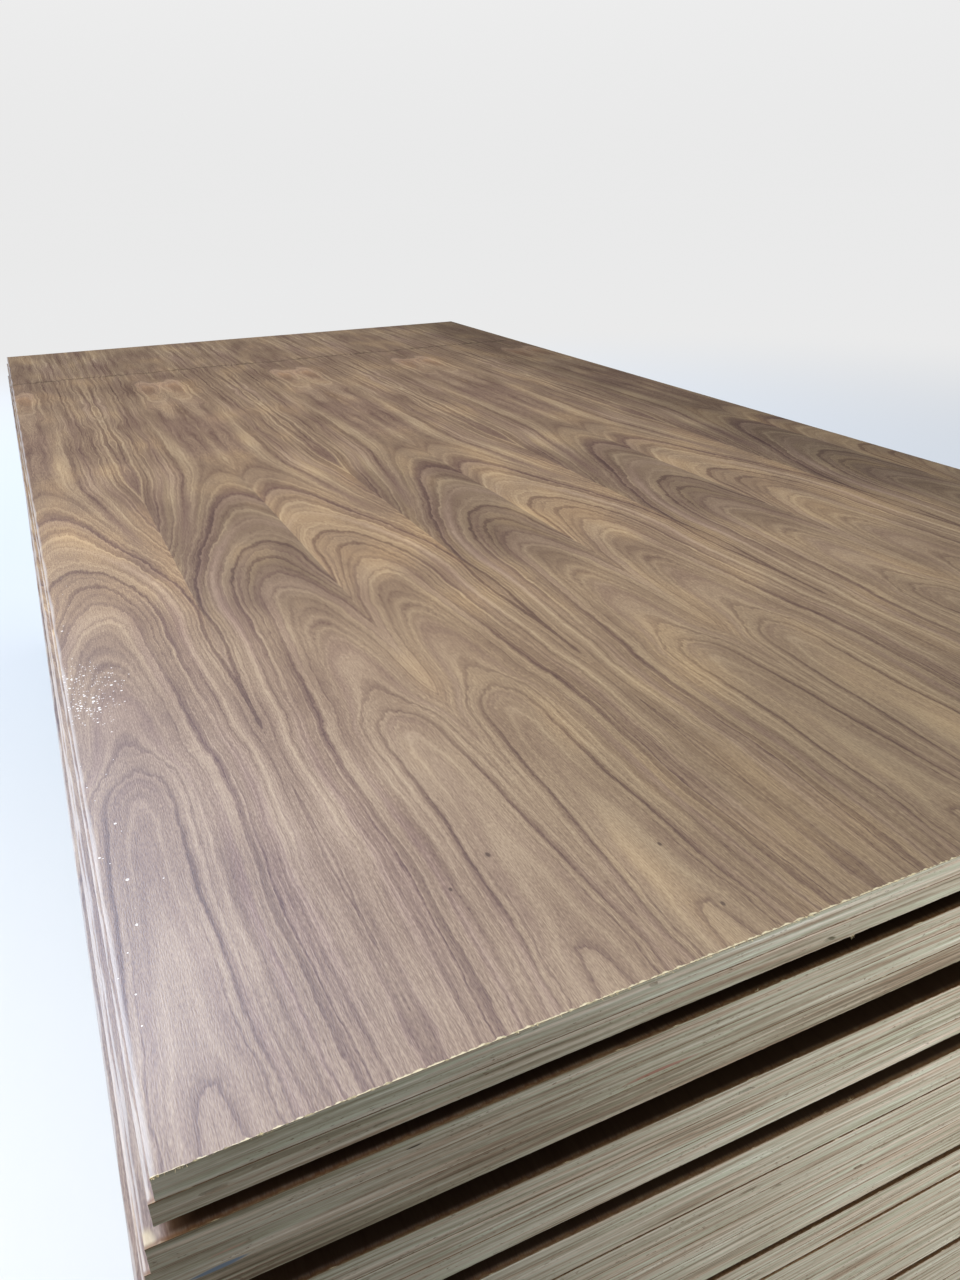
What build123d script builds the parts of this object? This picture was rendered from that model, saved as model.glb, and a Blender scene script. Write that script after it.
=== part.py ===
from build123d import *
from collections import namedtuple
from math import cos, radians, sin, sqrt
import os

# A lift of walnut-faced plywood sheets, stacked flat, seen from its near end (-Y).
# Every sheet is glued up as one board, so every sheet is one solid. The sheets have
# taken a set in storage: the lower ones are crowned along their length, and touch the
# flatter ones above at mid-length, so the ends of the lift stand open in wide gaps.
# Units are millimetres. +Y runs along the sheets, +Z is up, and the origin is at the
# bottom, in the middle of the lift.

# Driving dimensions of a sheet
sheet_length = 2440.0
sheet_width = 1220.0
thick = 17.7      # the 18 mm sheets as sanded
thin = 15.5       # the 15 mm sheets as sanded

# How the sheets lie on each other
rest_gap = 0.25      # air left between two sheets that bear on each other
hairline = 0.85      # ends of two sheets that all but close
first_gap = 12.0     # openings at the near end, from the top of the lift down
second_gap = 27.0
third_gap = 15.5
fourth_gap = 8.0
fifth_gap = 5.9
side_spread = 25.0   # most that a near left corner lies out to the left of the top one
end_spread = 1.6     # most that it lies out in front of the top one
sway = 0.8           # how far the sheets of one bundle lie out of line sideways
skew = 8.8           # degrees that the line of the crests is turned from square across
hidden_sheets = 14

# Sheets that lie together, from the top of the lift down: how many, how thick, the
# opening above them at the ends, the shares of the side and end spread that their near
# left corner lies out by, and how many degrees they are turned about that corner.
Bundle = namedtuple("Bundle", "sheets thickness opening left front turn")
bundles = [
    Bundle(sheets=1, thickness=thin, opening=0.0, left=0.0, front=0.0, turn=0.0),
    Bundle(sheets=1, thickness=thin, opening=rest_gap, left=0.13, front=0.0, turn=0.0),
    Bundle(sheets=1, thickness=thick, opening=first_gap, left=0.36, front=1.0, turn=-0.05),
    Bundle(sheets=1, thickness=thick, opening=rest_gap, left=0.48, front=0.75, turn=-0.1),
    Bundle(sheets=1, thickness=thick, opening=rest_gap, left=0.58, front=0.4, turn=-0.18),
    Bundle(sheets=3, thickness=thick, opening=second_gap, left=0.84, front=-0.95, turn=-0.35),
    Bundle(sheets=1, thickness=thick, opening=third_gap, left=0.88, front=-0.1, turn=-0.4),
    Bundle(sheets=1, thickness=thick, opening=hairline, left=0.82, front=-0.5, turn=-0.38),
    Bundle(sheets=5, thickness=thick, opening=hairline, left=0.92, front=-0.3, turn=-0.38),
    Bundle(sheets=2, thickness=thin, opening=fourth_gap, left=0.96, front=-0.5, turn=-0.36),
    Bundle(sheets=1, thickness=thick, opening=hairline, left=0.9, front=0.0, turn=-0.4),
    Bundle(sheets=5, thickness=thick, opening=hairline, left=0.96, front=-0.5, turn=-0.36),
    Bundle(sheets=2, thickness=thick, opening=fifth_gap, left=1.0, front=-0.1, turn=-0.35),
    Bundle(sheets=1, thickness=thick, opening=hairline, left=0.92, front=-0.5, turn=-0.35),
]
golden_angle = radians(137.5)   # steps of it never repeat, so no two sheets line up

# Plywood bends one way only, so a bent sheet is straight along its crest and droops
# in a shallow arc to both sides of it. The crest runs skew across the lift.
crest_way = (cos(radians(skew)), sin(radians(skew)), 0)
half_length = sheet_length / 2 * crest_way[0]
furthest = half_length + sheet_width / 2 * crest_way[1]
reach = (sheet_length + sheet_width) / 2


def droop(crown, distance):
    """How far a sheet lies below its crest, at a distance from the crest."""
    if crown <= 0:
        return 0.0
    radius = (half_length**2 + crown**2) / (2 * crown)
    return radius - sqrt(radius**2 - distance**2)


# One sheet of the lift: its crest's depth below the top face, its crown, which is its
# droop at the middle of its ends, and its place in plan
Sheet = namedtuple("Sheet", "thickness crest crown left front turn")


def lie(bundle, step):
    """Where a sheet of a bundle lies in plan, so many steps down from its first one."""
    left = bundle.left * side_spread + sway * sin(golden_angle * step)
    return left, bundle.front * end_spread, bundle.turn


def stack_down():
    """Every sheet of the lift, from the top one down."""
    sheets = []
    level = 0.0
    crown = 0.0
    for bundle in bundles:
        crown += max(bundle.opening - rest_gap, 0.0)
        for step in range(bundle.sheets):
            sheets.append(Sheet(bundle.thickness, level, crown, *lie(bundle, step)))
            level -= bundle.thickness + rest_gap
    # Under them the sheets flatten again, step by step, down to a flat one on the floor,
    # and bear on each other at the two corners that are furthest from the crest
    for number in range(hidden_sheets):
        flatter = crown * (1 - 1 / (hidden_sheets - number))
        level -= droop(crown, furthest) - droop(flatter, furthest)
        crown = flatter
        sheets.append(Sheet(thick, level, crown, *lie(bundles[-1], number + 1)))
        level -= thick + rest_gap
    return sheets


def corners(sheet):
    """The four corners of a sheet in plan, from the top sheet's near left corner."""
    right = (cos(radians(sheet.turn)), sin(radians(sheet.turn)))
    return [
        (a * right[0] - b * right[1] - sheet.left, a * right[1] + b * right[0] - sheet.front)
        for a in (0, sheet_width)
        for b in (0, sheet_length)
    ]


def middle(values):
    """Halfway between the lowest and the highest value."""
    return (min(values) + max(values)) / 2


lift = stack_down()
plan = [point for sheet in lift for point in corners(sheet)]
centre_x = middle([x for x, _ in plan])
centre_y = middle([y for _, y in plan])
lift_height = lift[-1].thickness - lift[-1].crest

# A bent layer is drawn in the upright plane square to the crest, longer and wider than
# the sheet, and the sheet's outline in plan is then cut out of it.
bend_plane = Plane(origin=(0, 0, 0), x_dir=(-crest_way[1], crest_way[0], 0), z_dir=crest_way)

os.makedirs("parts", exist_ok=True)
for number, sheet in enumerate(lift, start=1):
    top = lift_height + sheet.crest
    base = top - sheet.thickness
    corner = Location((-sheet.left - centre_x, -sheet.front - centre_y, 0), (0, 0, sheet.turn))
    with BuildPart() as board:
        if sheet.crown > 0:
            drop = droop(sheet.crown, reach)
            with BuildSketch(bend_plane):
                with BuildLine():
                    upper = ThreePointArc((-reach, top - drop), (0, top), (reach, top - drop))
                    lower = ThreePointArc((-reach, base - drop), (0, base), (reach, base - drop))
                    Line(upper @ 0, lower @ 0)
                    Line(upper @ 1, lower @ 1)
                make_face()
            extrude(amount=reach, both=True)
        else:
            with BuildSketch(Plane.XY.offset(base)):
                Rectangle(2 * reach, 2 * reach)
            extrude(amount=sheet.thickness)
        with BuildSketch(Plane.XY):
            with Locations(corner):
                Rectangle(sheet_width, sheet_length, align=(Align.MIN, Align.MIN))
        extrude(amount=lift_height, mode=Mode.INTERSECT)
    board.part.label = f"sheet_{number:02d}"
    export_step(board.part, f"parts/{board.part.label}.step")

print(f"{len(lift)} sheets, {lift_height:.2f} mm high, most crown {max(s.crown for s in lift):.1f} mm")
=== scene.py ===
# %% [markdown]
# # A lift of walnut-faced plywood
# Forty boards lie flat on each other. The packed model brings every board as a plain
# solid at its real size and in its real place. This lesson gives the boards what the
# solids leave out: sawn edges with their plies, core gaps and splinters, and the walnut
# veneer of the faces. It starts with the camera and ends with a soft light to look by.

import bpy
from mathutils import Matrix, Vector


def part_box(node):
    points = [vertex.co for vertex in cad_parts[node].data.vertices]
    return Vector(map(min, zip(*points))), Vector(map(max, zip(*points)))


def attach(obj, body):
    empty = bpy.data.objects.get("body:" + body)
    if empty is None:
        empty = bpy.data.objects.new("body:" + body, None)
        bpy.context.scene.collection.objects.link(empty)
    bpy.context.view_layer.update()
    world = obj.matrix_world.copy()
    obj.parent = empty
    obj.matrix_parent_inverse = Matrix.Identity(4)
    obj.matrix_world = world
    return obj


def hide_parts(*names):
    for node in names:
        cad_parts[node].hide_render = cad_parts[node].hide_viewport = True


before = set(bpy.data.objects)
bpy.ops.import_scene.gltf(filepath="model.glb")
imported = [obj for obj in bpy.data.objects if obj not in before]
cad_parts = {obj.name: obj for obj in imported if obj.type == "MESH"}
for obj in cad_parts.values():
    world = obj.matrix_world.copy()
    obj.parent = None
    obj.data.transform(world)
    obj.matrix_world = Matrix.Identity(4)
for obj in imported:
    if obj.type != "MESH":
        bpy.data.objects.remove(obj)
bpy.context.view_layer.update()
board_names = sorted(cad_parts)
print("boards in the frame:", len(board_names))

# %% [markdown]
# ## Tools
# A board has some thousands of points. They are worked out as whole arrays, because a
# row of points is then one sum instead of a loop. Lengths of the wood are given in
# millimetres, as one would measure them, and MM turns them into the metres of the frame.

# %% Tools
from collections import namedtuple
from math import radians

import bpy
import numpy as np
from mathutils import Matrix, Vector
from mathutils.geometry import delaunay_2d_cdt

MM = 0.001
top_low, top_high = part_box(board_names[0])
near_left_top = Vector((top_low.x, top_low.y, top_high.z))
print("height of the top face:", round(top_high.z / MM, 1), "mm")

# %% [markdown]
# ## The camera
# The photograph was taken from above the near left corner of the lift, looking down and
# to the right along it with a wide lens. One could move a camera by hand until the view
# looks right. Here it was worked out from the sides of the top board, whose real size is
# known, so that every other board falls where it should. The place of the camera is given
# from the near left corner of the top board, the point that one would measure it from.

# %% Camera
camera_offset = Vector((18.6, -314.6, 394.4)) * MM
camera_pitch = radians(25.85)    # down from level
camera_yaw = radians(24.89)      # from along the boards towards the right
camera_roll = radians(-1.01)
view_height = 1280               # pixels of the photograph
focal_length = 961.0             # in the same pixels
sensor_length = 36.0             # millimetres, along the height of the view
closest_seen = 20 * MM

camera_data = bpy.data.cameras.new("photo_camera")
camera_data.sensor_width = sensor_length
camera_data.lens = sensor_length * focal_length / view_height
camera_data.clip_start = closest_seen
camera = bpy.data.objects.new("photo_camera", camera_data)
bpy.context.scene.collection.objects.link(camera)
camera.matrix_world = (
    Matrix.Translation(near_left_top + camera_offset)
    @ Matrix.Rotation(-camera_yaw, 4, "Z")
    @ Matrix.Rotation(radians(90) - camera_pitch, 4, "X")
    @ Matrix.Rotation(camera_roll, 4, "Z")
)
bpy.context.scene.camera = camera
print("camera at", [round(v, 3) for v in camera.matrix_world.translation])

# %% [markdown]
# ## Reading a board off its solid
# A finished board has to lie exactly where its solid lies. Its sizes could be typed in
# again, but then the two would part as soon as one of them changed. So its outline,
# thickness and bow are read off the solid's own points. A bowed board is part of a wide
# cylinder whose crest runs slightly askew. Its height falls off with the distance from
# the crest, squared, and a second term in that square takes in the rest of the circle.
# The points above the middle surface belong to the face, and those below it to the back.

# %% Read the bow
least_bow = 1e-4      # a board that bends less than this is taken as flat


def bow_terms(x, y):
    """The terms that the height of a bowed surface is a sum of."""
    return np.c_[x * 0 + 1, x * x, x * y, y * y]


def read_bow(x, y, z):
    """The turn of the crest, the heights of the face beside it, and the thickness."""
    middle = np.linalg.lstsq(bow_terms(x, y), z, rcond=None)[0]
    bowed = abs(middle[3]) > least_bow
    crest = np.arctan(-middle[2] / middle[3] / 2) if bowed else 0.0
    on_face = z > bow_terms(x, y) @ middle
    from_crest = y * np.cos(crest) - x * np.sin(crest)
    face = np.polyfit(from_crest[on_face] ** 2, z[on_face], 2 if bowed else 0)
    thickness = np.mean(np.polyval(face, from_crest[~on_face] ** 2) - z[~on_face])
    return crest, face, thickness


# %% Read a board
Board = namedtuple("Board", "number corner right along width length thickness crest face")


def read_board(name):
    """The outline, thickness and bow of a board, in metres."""
    x, y, z = np.array([v.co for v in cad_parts[name].data.vertices]).T
    plan = np.c_[x, y]
    near_left = plan[np.argmin(x + y)]
    near_right = plan[np.argmax(x - y)]
    far_left = plan[np.argmin(x - y)]
    width = np.linalg.norm(near_right - near_left)
    length = np.linalg.norm(far_left - near_left)
    right = (near_right - near_left) / width
    along = (far_left - near_left) / length
    crest, face, thickness = read_bow(x, y, z)
    number = int(name.split("_")[1])
    return Board(number, near_left, right, along, width, length, thickness, crest, face)


boards = [read_board(name) for name in board_names]
for board in boards[:3]:
    print("board", board.number, "thickness", round(board.thickness / MM, 2), "mm")

# %% [markdown]
# ## The plies of an edge
# A sawn edge shows how the board is made: a thin walnut veneer, five poplar plies of
# which every other one is cut across its grain, and a thin back veneer. One could paint
# all of that on a flat strip, but real plies stand a little proud of each other, and a
# gap in a ply is a hole. So the strip round the board gets a row of points at every glue
# line and one in the middle of every poplar ply. A row's ply number is kept with the
# point, and the colours are later taken from the same number, so that they can't part.

# %% Rows of an edge
veneer = 0.6 * MM
core_plies = 5
back_ply = core_plies + 2.0


def edge_rows(thickness):
    """Ply numbers and depths of the rows of points, from the face down."""
    core = (thickness - 2 * veneer) / core_plies
    plies = [0.0] + [1 + half / 2 for half in range(2 * core_plies + 1)] + [back_ply]
    depths = [0.0] + [veneer + core * (ply - 1) for ply in plies[1:-1]] + [thickness]
    return np.array(plies), np.array(depths)


plies, depths = edge_rows(boards[0].thickness)
print("rows at", [round(depth / MM, 2) for depth in depths], "mm")

# %% [markdown]
# ## Round the outline
# The saw leaves the near end of the top board in full view, so points stand close there.
# They could stand as close everywhere, but that makes millions of faces that nobody
# sees. So they stand wider along the other sides, and wider still on the boards that lie
# deep in the lift, where no side is looked at closely.

# %% Steps between stations
shown_boards = 26
near_end_steps = {"top": 1.5 * MM, "shown": 3.5 * MM, "hidden": 20 * MM}
side_steps = {"top": 12 * MM, "shown": 12 * MM, "hidden": 30 * MM}


def rank(board):
    """Whether a board is the top one, one that shows, or one that lies hidden."""
    if board.number == 1:
        return "top"
    return "shown" if board.number <= shown_boards else "hidden"


print("ranks:", [rank(board) for board in (boards[0], boards[1], boards[-1])])


# %% Stations round a board
def stations(board):
    """Points round the outline in the board's own plane, and the way in from each."""
    near_step = near_end_steps[rank(board)]
    side_step = side_steps[rank(board)]
    near_left = (0, 0)
    near_right = (board.width, 0)
    far_left = (0, board.length)
    far_right = (board.width, board.length)
    sides = [
        (near_left, near_right, near_step, (0, 1)),
        (near_right, far_right, side_step, (-1, 0)),
        (far_right, far_left, side_step, (0, -1)),
        (far_left, near_left, side_step, (1, 0)),
    ]
    places = []
    inward = []
    last_way = sides[-1][3]
    for start, end, step, way in sides:
        course = np.subtract(end, start)
        count = int(np.linalg.norm(course) / step)
        share = np.arange(count)[:, None] / count
        places.append(start + course * share)
        ways = np.tile(np.array(way, float), (count, 1))
        ways[0] = np.add(way, last_way) / 2
        inward.append(ways)
        last_way = way
    return np.vstack(places), np.vstack(inward)


places, inward = stations(boards[0])
print("stations round the top board:", len(places))

# %% [markdown]
# ## Relief of a sawn edge
# Plies cut across their grain tear and lie a little deeper than the smooth ones. Here
# and there two strips of a ply don't meet, and the gap shows as a dark slot. The saw also
# bites small chips out of the brittle face veneer along the rim. A bump in the finish
# could show all this, but it would be gone in the outline of the rim and in the bare mesh.
# So the points themselves move in. Every board draws its own chips and slots from its own
# number, so the lift is uneven and always the same.

# %% Slots between the strips of a ply
slot_depth = 4.5 * MM
slot_halves = (2.5, 11)        # half the length of a slot, in millimetres
slots_per_metre = 0.9
slot_flat = 1.1                # above 1, a slot has a flat bottom
slot_ends = 0.5                # below 1, its ends are blunt
slot_raggedness = (0.55, 1)    # least and most share of its depth


def cut_slots(board, draw, run, plies, depth):
    """Deepen a ply wherever two of its strips don't meet."""
    middle_rows = np.flatnonzero(plies % 1 > 0)
    for _ in range(int(slots_per_metre * 2 * (board.width + board.length))):
        centre = draw.uniform(0, board.width + board.length)
        half = draw.uniform(*slot_halves) * MM
        row = draw.choice(middle_rows)
        inside = np.clip(slot_flat - np.abs(run - centre) / half, 0, 1) ** slot_ends
        ragged = draw.uniform(*slot_raggedness, len(run))
        depth[row] = np.maximum(depth[row], slot_depth * ragged * inside)


# %% Relief
tear = 0.22 * MM               # depth of a ply cut across its grain
roughness = 0.06 * MM
chip_depth = 1.1 * MM
chipped_share = {"top": 0.4, "shown": 0.1, "hidden": 0.1}
deepest_chip = {"top": chip_depth, "shown": chip_depth / 3, "hidden": chip_depth / 3}


def relief(board, places, plies):
    """How deep every point of an edge lies behind the outline, row by row."""
    draw = np.random.default_rng(board.number)
    run = places.sum(axis=1)
    depth = np.abs(draw.normal(0, roughness, (len(plies), len(run))))
    cut_across = (np.floor(plies) % 2 == 0) & (plies > 1) & (plies < core_plies + 1)
    depth[cut_across] += tear * draw.uniform(0.5, 1.0, (cut_across.sum(), 1))
    cut_slots(board, draw, run, plies, depth)
    on_near_end = places[:, 1] == 0
    chipped = (draw.random(len(run)) < chipped_share[rank(board)]) & on_near_end
    depth[0] += deepest_chip[rank(board)] * chipped * draw.random(len(run)) ** 2
    return depth


deepest = relief(boards[0], places, plies).max()
print("deepest slot of the top board:", round(deepest / MM, 1), "mm")

# %% [markdown]
# ## Making a board
# The strip round the edge is a grid of rows and stations. The face and the back have to
# meet all those stations without a grid of their own, which would be a hundred times too
# many faces. A triangulation that keeps to the outline fills it with few triangles, and
# a loose lattice of points inside it lets the bowed boards follow their curve.

# %% From the board's own plane into the lift
def lift_up(board, flat, depth):
    """Points of a board's own plane, brought to where they lie in the lift."""
    plan = board.corner + flat[:, :1] * board.right + flat[:, 1:] * board.along
    from_crest = plan[:, 1] * np.cos(board.crest) - plan[:, 0] * np.sin(board.crest)
    return np.c_[plan, np.polyval(board.face, from_crest**2) - depth]


corner = lift_up(boards[0], np.zeros((1, 2)), 0.0)[0]
print("near left corner of the top board:", [round(v, 4) for v in corner])

# %% Fill the outline
lattice = 90 * MM
same_place = 1e-9


def fill_outline(board, rim):
    """Lattice points inside the outline, and triangles over them and the rim."""
    columns = np.arange(lattice, board.width - lattice / 2, 3 * lattice)
    rows = np.arange(lattice / 2, board.length - lattice / 4, lattice)
    inside = np.array([(a, b) for a in columns for b in rows])
    points = [Vector(p) for p in np.vstack((rim, inside))]
    ring = [(i, (i + 1) % len(rim)) for i in range(len(rim))]
    triangles = delaunay_2d_cdt(points, ring, [], 1, same_place)[2]
    return inside, np.array(triangles)


inside, triangles = fill_outline(boards[0], places)
print("triangles in the top face:", len(triangles))


# %% Faces of the edge
def edge_quads(row_count, count):
    """Four-sided faces between neighbouring stations of neighbouring rows."""
    here = np.arange(count)
    after = (here + 1) % count
    rows = [
        np.c_[here, here + count, after + count, after] + row * count
        for row in range(row_count - 1)
    ]
    return np.vstack(rows)


print("four-sided faces round the top board:", len(edge_quads(len(plies), len(places))))

# %% [markdown]
# ## Pieces of the finished model
# Every new piece rides on the one body of the lift. A board also keeps two rows of numbers
# with each of its points: its place on the board, and its ply, its board's number and its
# depth in the edge. All finishes are drawn in those numbers, so the grain bends and turns
# with the board.

# %% A new piece
def new_piece(name, points, faces):
    """A mesh that belongs to the lift."""
    mesh = bpy.data.meshes.new(name)
    mesh.from_pydata(points.tolist(), [], faces)
    piece = bpy.data.objects.new(name, mesh)
    bpy.context.scene.collection.objects.link(piece)
    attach(piece, "root")
    return piece


def keep(piece, label, *columns):
    """Store three numbers with each point of a piece, under a name."""
    attribute = piece.data.attributes.new(label, "FLOAT_VECTOR", "POINT")
    attribute.data.foreach_set("vector", np.c_[columns].astype(np.float32).ravel())


# %% Make a board
face_finish, edge_finish, back_finish = range(3)


def make_board(board, name):
    """A finished board as one closed mesh."""
    places, inward = stations(board)
    plies, depths = edge_rows(board.thickness)
    recess = relief(board, places, plies)
    strip = places[None] + inward[None] * recess[..., None]
    inside, triangles = fill_outline(board, strip[0])
    count = len(places)
    rows = [lift_up(board, row, depth) for row, depth in zip(strip, depths)]
    rows += [lift_up(board, inside, 0.0), lift_up(board, inside, board.thickness)]

    last_row = (len(plies) - 1) * count
    on_rim = triangles < count
    quads = edge_quads(len(plies), count)
    face = np.where(on_rim, triangles, triangles + last_row)
    back = np.where(on_rim, triangles, triangles + len(inside))[:, ::-1] + last_row
    faces = quads.tolist() + face.tolist() + back.tolist()
    piece = new_piece(name, np.vstack(rows), faces)
    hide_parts(board_names[board.number - 1])

    kinds = [edge_finish, face_finish, back_finish]
    kinds = np.repeat(kinds, [len(quads), len(face), len(back)])
    piece.data.polygons.foreach_set("material_index", kinds.astype(np.int32))
    flat = np.vstack([strip.reshape(-1, 2), inside, inside])
    none = np.zeros(len(inside))
    depth = np.r_[np.repeat(depths, count), none, none + board.thickness]
    ply = np.r_[np.repeat(plies, count), none, none + back_ply]
    hollow = np.r_[recess.ravel(), none, none]
    keep(piece, "board_place", flat[:, 0], flat[:, 1], depth)
    keep(piece, "ply_place", ply, np.full(len(ply), board.number), hollow)
    return piece


pieces = [make_board(board, f"board_{board.number:02d}") for board in boards]
print("triangles:", sum(sum(len(p.vertices) - 2 for p in o.data.polygons) for o in pieces))

# %% [markdown]
# ## Splinters
# The saw leaves torn fibres along the near rim of the top board, in clumps, and a few
# tufts stand in the gaps below. They could be hair, but the export knows only meshes. So
# each fibre is a small three-sided spike that is rooted inside its board. On the rim
# they lie below the face, as on a real sawn edge, and the board is no higher for them.

# %% One splinter
spike_corners = ((-1, 0.6), (1, 0.6), (0, -1))


def spike(board, root, tip, half):
    """Corners of a three-sided spike between two places (across, along, depth) in mm."""
    around = [(root[0] + half * x, root[1], root[2] + half * y) for x, y in spike_corners]
    corners = np.array([*around, tip]) * MM
    return lift_up(board, corners[:, :2], corners[:, 2])


# %% Splinters of the top rim, in millimetres
clumps = 46
fibres_per_clump = 9
clump_reach = 7
shortest_fibre = 0.2
usual_fibre = 0.55             # what it is longer than the shortest
longest_fibre = 2.2
fibre_lean = 0.8
fibre_half = 0.22
rim_root = (0.5, 0.45)         # how far in, and how far below the face, a fibre starts
rim_tip_depth = 0.35


def rim_spikes(draw):
    """Torn fibres that hang on along the near rim of the top board."""
    spikes = []
    width = boards[0].width / MM
    for centre in draw.uniform(2, width - 2, clumps):
        for _ in range(fibres_per_clump):
            across = np.clip(draw.normal(centre, clump_reach), 1, width - 1)
            out = min(draw.exponential(usual_fibre) + shortest_fibre, longest_fibre)
            side = draw.normal(0, fibre_lean)
            tip = (across + side, -out, rim_tip_depth)
            spikes.append(spike(boards[0], (across, *rim_root), tip, fibre_half))
    return spikes


# %% Tufts in the gaps, in millimetres
Tuft = namedtuple("Tuft", "board across depth rise")
tufts = [
    Tuft(board=3, across=349, depth=0.3, rise=4),
    Tuft(board=2, across=417, depth=15.2, rise=-3),
    Tuft(board=9, across=440, depth=0.3, rise=3),
    Tuft(board=9, across=463, depth=0.3, rise=4),
]
fibres_per_tuft = 12
tuft_lean = 1.2
tuft_out = (-0.4, 1.2)
tuft_share = (0.4, 1)          # least and most share of the tuft's rise
tuft_root = 0.6                # how far inside the board a fibre starts
tuft_foot = 0.4                # how wide the tuft is at its foot, as a share of its top
tuft_half = 0.16


def tuft_spikes(draw):
    """Fibres that stand up, or hang down, from an edge in a gap."""
    spikes = []
    for tuft in tufts:
        for _ in range(fibres_per_tuft):
            side = draw.normal(0, tuft_lean)
            out = draw.uniform(*tuft_out)
            up = draw.uniform(*tuft_share)
            root = (tuft.across + side * tuft_foot, tuft_root, tuft.depth)
            tip = (tuft.across + side, -out, tuft.depth - tuft.rise * up)
            spikes.append(spike(boards[tuft.board - 1], root, tip, tuft_half))
    return spikes


# %% All splinters as one piece
splinter_seed = 7
draw = np.random.default_rng(splinter_seed)
spikes = rim_spikes(draw) + tuft_spikes(draw)
spike_sides = np.array([(0, 1, 3), (1, 2, 3), (2, 0, 3), (2, 1, 0)])
faces = np.vstack([spike_sides + 4 * k for k in range(len(spikes))])
splinters = new_piece("rim_splinters", np.vstack(spikes), faces.tolist())
print("splinters:", len(spikes))

# %% [markdown]
# ## Sums on a surface
# A finish is a colour for every point of a surface, worked out from where the point is.
# In Blender that is a tree of shader nodes, and a tree typed out node by node is hard to
# read. So a small class stands for a number that varies over the surface: adding or
# multiplying two of them adds the right node, and a finish reads like ordinary sums.

# %% Give a socket its value
def plug(tree, value, socket):
    """Give a socket a plain value, or the end of a chain of nodes."""
    if isinstance(value, Amount):
        tree.links.new(value.socket, socket)
    elif isinstance(value, bpy.types.NodeSocket):
        tree.links.new(value, socket)
    else:
        socket.default_value = value


# %% Sums
class Amount:
    """A number that varies over a surface. Sums with it add shader nodes."""

    def __init__(self, tree, socket):
        self.tree = tree
        self.socket = socket

    def math(self, operation, *others):
        """The result of one of Blender's own kinds of sum."""
        node = self.tree.nodes.new("ShaderNodeMath")
        node.operation = operation
        for value, socket in zip((self, *others), node.inputs):
            plug(self.tree, value, socket)
        return Amount(self.tree, node.outputs[0])

    def __add__(self, other):
        return self.math("ADD", other)

    def __sub__(self, other):
        return self.math("SUBTRACT", other)

    def __mul__(self, other):
        return self.math("MULTIPLY", other)

    def __truediv__(self, other):
        return self.math("DIVIDE", other)

    def less(self, share):
        """1 where this amount is 0, and less by a share of it elsewhere."""
        return self * -share + 1

    def near(self, value, reach):
        """1 where this amount is nearer than a reach to a value, and 0 elsewhere."""
        return (self - value).math("ABSOLUTE").math("LESS_THAN", reach)

    def span(self, low, high):
        """0 at one value, 1 at the other, and smooth between them."""
        node = self.tree.nodes.new("ShaderNodeMapRange")
        node.interpolation_type = "SMOOTHSTEP"
        for value, socket in zip((self, low, high), node.inputs):
            plug(self.tree, value, socket)
        return Amount(self.tree, node.outputs[0])

    def curve(self, points, handles="AUTO_CLAMPED"):
        """A value read off a curve through given points."""
        xs, ys = zip(*points)
        low, high, least, most = min(xs), max(xs), min(ys), max(ys)
        node = self.tree.nodes.new("ShaderNodeFloatCurve")
        line = node.mapping.curves[0]
        for x, y in points[1:-1]:
            line.points.new((x - low) / (high - low), (y - least) / (most - least))
        line.points[0].location = (0, (ys[0] - least) / (most - least))
        line.points[-1].location = (1, (ys[-1] - least) / (most - least))
        for point in line.points:
            point.handle_type = handles
        node.mapping.update()
        plug(self.tree, (self - low) / (high - low), node.inputs["Value"])
        return Amount(self.tree, node.outputs[0]) * (most - least) + least


print("sums that a finish can use:", [name for name in vars(Amount) if name[0] != "_"])

# %% [markdown]
# ## Where a point lies, and chance
# Every finish starts from the numbers that the mesh carries: how far across, along and
# down its own board a point lies, in millimetres. Chance comes from a noise texture. It
# is read at a place that is divided by the size of a spot, so the same noise makes round
# clouds, long streaks or fine pores, depending on two sizes. Each board reads its own
# part of the noise, so no two boards look alike.

# %% Places
Place = namedtuple("Place", "across along down ply number hollow")
per_metre = 1000         # millimetres


def kept_numbers(tree, name):
    """The three amounts that a mesh keeps under a name."""
    read = tree.nodes.new("ShaderNodeAttribute")
    read.attribute_name = name
    split = tree.nodes.new("ShaderNodeSeparateXYZ")
    tree.links.new(read.outputs["Vector"], split.inputs[0])
    return [Amount(tree, socket) for socket in split.outputs]


def place_of(tree):
    """Where a point lies on its board, in millimetres, its ply and its board."""
    across, along, down = [value * per_metre for value in kept_numbers(tree, "board_place")]
    ply, number, hollow = kept_numbers(tree, "ply_place")
    return Place(across, along, down, ply, number, hollow * per_metre)


def at(tree, place, size):
    """A place divided by a size, ready for a texture."""
    node = tree.nodes.new("ShaderNodeCombineXYZ")
    for value, divisor, socket in zip(place, size, node.inputs):
        plug(tree, value / divisor, socket)
    return node.outputs[0]


# %% Chance
spots_between_boards = (17, 5)
noise_spread = 4
smallest_speck = 0.1           # in cells
speck_spread = 0.3


def chance(tree, place, size, detail):
    """Smooth noise, mostly between -1 and 1, with spots of a given size."""
    across, along, number = place
    node = tree.nodes.new("ShaderNodeTexNoise")
    node.noise_dimensions = "2D"
    shifted = (
        across + number * spots_between_boards[0] * size[0],
        along + number * spots_between_boards[1] * size[1],
    )
    tree.links.new(at(tree, shifted, size), node.inputs["Vector"])
    node.inputs["Scale"].default_value = 1.0
    node.inputs["Detail"].default_value = detail
    return (Amount(tree, node.outputs[0]) - 0.5) * noise_spread


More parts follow.
